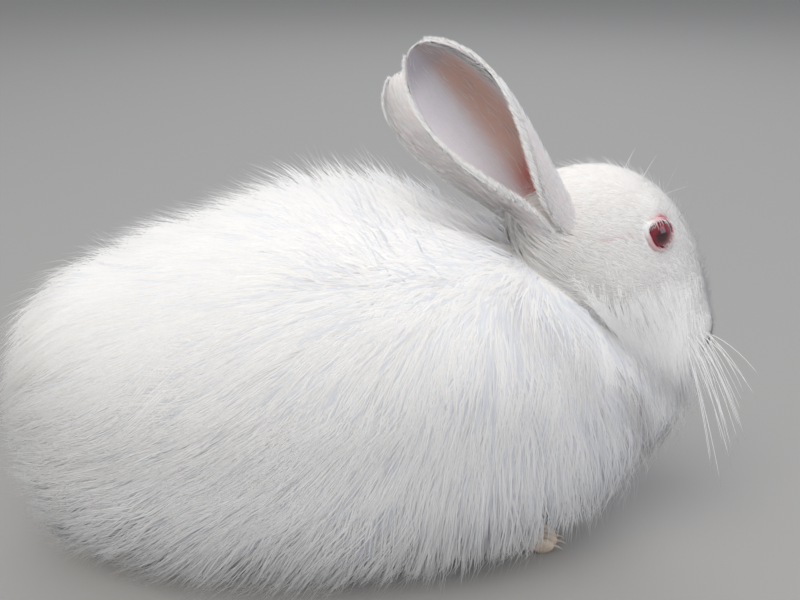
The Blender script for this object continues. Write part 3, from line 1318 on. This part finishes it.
# Bare skin and close down: matt, soft, with a fine grain where the short hairs lie on it
FUR_GRAIN = 1 / 0.0007
hide, shader = new_material("thin_skin_and_down", {"Roughness": 0.62, "Specular IOR Level": 0.3})
place = add_node(hide, "ShaderNodeTexCoord")
turned = add_node(hide, "ShaderNodeMapping", {
    "Vector": place.outputs["Object"], "Rotation": (0.0, 0.5, HEAD_YAW), "Scale": (0.25, 1.0, 1.0),
})
grain = add_node(hide, "ShaderNodeTexNoise", {
    "Vector": turned.outputs["Vector"], "Scale": FUR_GRAIN, "Detail": 4.0,
})
mottle = add_node(hide, "ShaderNodeMapRange", {
    "Value": grain.outputs["Fac"], "To Min": 0.93, "To Max": 1.03,
})
show_tint(hide, shader, mottle.outputs["Result"])
raised = add_node(hide, "ShaderNodeBump", {
    "Height": grain.outputs["Fac"], "Strength": 0.5, "Distance": 0.0004,
})
hide.node_tree.links.new(raised.outputs["Normal"], shader.inputs["Normal"])
# The joining leaves an empty first slot for the skin's finish, so the slots are set anew
skin.data.materials.clear()
skin.data.materials.append(hide)
skin.data.polygons.foreach_set("material_index", np.zeros(len(skin.data.polygons), np.int32))
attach(skin, "root")
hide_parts("torso", "neck", "head", "tail", *EARS, *LEGS)

# The lashes: fine white hairs along the upper lids, which curl out and down
LASH_LENGTH, LASH_THICK, LASH_DROOP = 0.0065, 0.000448, 1.0
starts = np.concatenate([upper for upper, _, _ in lashes])
ways = np.concatenate([normal * 0.8 + up * 0.45 + backwards * 0.25 for _, up, normal in lashes])
draw = np.random.default_rng(SEED + 70)
lengths = LASH_LENGTH * draw.uniform(0.6, 1.2, len(starts))
ways = ways + 0.12 * draw.standard_normal(ways.shape)
thick, droops = [np.full(len(starts), value) for value in (LASH_THICK, LASH_DROOP)]
paths, facing = long_hairs(starts, ways, lengths, droops, 6)
place = np.column_stack([np.full(len(paths), 0.5), np.linspace(0.1, 0.9, len(paths))])
eyelashes = tuft_mesh(
    "eyelashes", paths, facing, thick, white_tints(paths), on_sheet("head", place), whisker_finish, 1.0,
)
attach(eyelashes, "root")


# The claws: small pale horn points at the tips of the toes, four on each foot, set into the fur. One
# curved claw is made and set at every toe by its place on the foot.

CLAW_LONG, CLAW_THICK = 0.0050, 0.00075
CLAW_AHEAD, CLAW_UP, CLAW_SPREAD = 0.0042, 0.34, 0.10  # past the toe, share of the foot's height, radians


def claw_form():
    share = np.linspace(0, 1, 9)
    path = np.stack([CLAW_LONG * share, 0 * share, -0.35 * CLAW_LONG * share**2], -1)
    return tube("claw", path, CLAW_THICK * (1 - 0.85 * share**1.4), 10)


def claw_tree(claw, finish):
    """Sets a claw at every point given to it, turned by the point's own angle."""
    tree = bpy.data.node_groups.new("claws_on_toes", "GeometryNodeTree")
    tree.interface.new_socket("Toes", in_out="INPUT", socket_type="NodeSocketGeometry")
    size = tree.interface.new_socket("Claw Size", in_out="INPUT", socket_type="NodeSocketFloat")
    tree.interface.new_socket("Claws", in_out="OUTPUT", socket_type="NodeSocketGeometry")
    kinds = (
        "NodeGroupInput", "GeometryNodeObjectInfo", "GeometryNodeInputNamedAttribute",
        "GeometryNodeInstanceOnPoints", "GeometryNodeRealizeInstances", "GeometryNodeSetMaterial",
        "NodeGroupOutput", "ShaderNodeCombineXYZ",
    )
    given, shape, turn, placed, real, coated, result, angles = [tree.nodes.new(kind) for kind in kinds]
    shape.inputs["Object"].default_value = claw
    turn.data_type = "FLOAT"
    turn.inputs["Name"].default_value = "turn"
    coated.inputs["Material"].default_value = finish
    joins = (
        (given.outputs["Toes"], placed.inputs["Points"]),
        (shape.outputs["Geometry"], placed.inputs["Instance"]),
        (turn.outputs["Attribute"], angles.inputs["Z"]),
        (angles.outputs["Vector"], placed.inputs["Rotation"]),
        (given.outputs["Claw Size"], placed.inputs["Scale"]),
        (placed.outputs["Instances"], real.inputs["Geometry"]),
        (real.outputs["Geometry"], coated.inputs["Geometry"]),
        (coated.outputs["Geometry"], result.inputs["Claws"]),
    )
    for source, target in joins:
        tree.links.new(source, target)
    return tree, size.identifier


# Horn: hard, smooth and a little translucent, yellowish grey, with a soft shine
horn, shader = new_material("claw_horn", {"Roughness": 0.35})
place = add_node(horn, "ShaderNodeTexCoord")
layers = add_node(horn, "ShaderNodeTexNoise", {"Vector": place.outputs["Object"], "Scale": 900.0})
ramp = add_node(horn, "ShaderNodeValToRGB", {"Fac": layers.outputs["Fac"]})
for element, code in zip(ramp.color_ramp.elements, ("#B9AC98", "#D8CDBB")):
    element.color = (*linear(code), 1.0)
horn.node_tree.links.new(ramp.outputs["Color"], shader.inputs["Base Color"])

toes, turns = [], []
for foot, _, side in LEGS.values():
    for n, (x, y) in enumerate(toe_spots(foot, side)):
        toes.append((x + CLAW_AHEAD, y, foot["height"] * CLAW_UP))
        turns.append(CLAW_SPREAD * side * (n - 1.5))
one_claw = claw_form()
points = bpy.data.meshes.new("toe_points")
points.from_pydata(toes, [], [])
points.attributes.new("turn", "FLOAT", "POINT").data.foreach_set("value", turns)
carrier = in_scene("toe_points", points)
tree, size_input = claw_tree(one_claw, horn)
setter = carrier.modifiers.new("claws", "NODES")
setter.node_group = tree
setter[size_input] = 1.0
mesh = bpy.data.meshes.new_from_object(carrier.evaluated_get(bpy.context.evaluated_depsgraph_get()))
bpy.data.objects.remove(carrier, do_unlink=True)
bpy.data.objects.remove(one_claw, do_unlink=True)
claws = in_scene("claws", mesh)
claws.data.polygons.foreach_set("use_smooth", np.ones(len(mesh.polygons), bool))
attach(claws, "root")


# The studio: a plain pale floor, a large soft light from above and a little to the left, weaker ones from
# the right and from behind, and the camera where the photograph was taken from, above the right side.

FLOOR_HALF = 4.0
corners = [(x * FLOOR_HALF, y * FLOOR_HALF, 0) for x, y in ((-1, -1), (1, -1), (1, 1), (-1, 1))]
floor_mesh = bpy.data.meshes.new("studio_floor")
floor_mesh.from_pydata(corners, [], [(0, 1, 2, 3)])
studio_floor = in_scene("studio_floor", floor_mesh)
# Matt painted board: pale, even and without gloss
board, _ = new_material("matt_painted_board", {
    "Roughness": 0.9, "Base Color": (*linear("#A9A7A4"), 1.0),
})
floor_mesh.materials.append(board)

# Each lamp: where it stands, its width, its watts, its colour. All of them face the animal's middle.
AIM = (0.0, 0.0, 0.1)
LIGHTS = (
    ("key", (-0.3, -0.7, 1.9), 1.3, 21.0, "#FFFCF8"),
    ("fill", (1.6, -1.0, 1.1), 1.4, 9.0, "#EEF3FF"),
    ("back", (0.2, 1.4, 1.3), 1.2, 8.0, "#F4F7FF"),
)
for name, place, width, power, code in LIGHTS:
    lamp = bpy.data.lights.new(name, "AREA")
    lamp.size = width
    lamp.energy = power
    lamp.color = linear(code)
    holder = in_scene(name, lamp)
    holder.location = place
    x, y, z = np.array(AIM) - place
    holder.rotation_euler = (math.atan2(math.hypot(x, y), -z), 0.0, math.atan2(-x, y))

world = bpy.data.worlds.new("studio")
world.use_nodes = True
sky = world.node_tree.nodes["Background"]
sky.inputs["Color"].default_value = (*linear("#E4E8EE"), 1.0)
sky.inputs["Strength"].default_value = 0.50
bpy.context.scene.world = world
# The default transform greys white hair
bpy.context.scene.view_settings.view_transform = "Standard"

lens = bpy.data.cameras.new("camera")
lens.sensor_width, lens.lens, lens.clip_start = 36.0, 49.5, 0.01
camera = in_scene("camera", lens)
camera.location = (0.021, -0.459, 0.290)
camera.rotation_euler = (math.radians(69), 0.0, 0.0)
bpy.context.scene.camera = camera
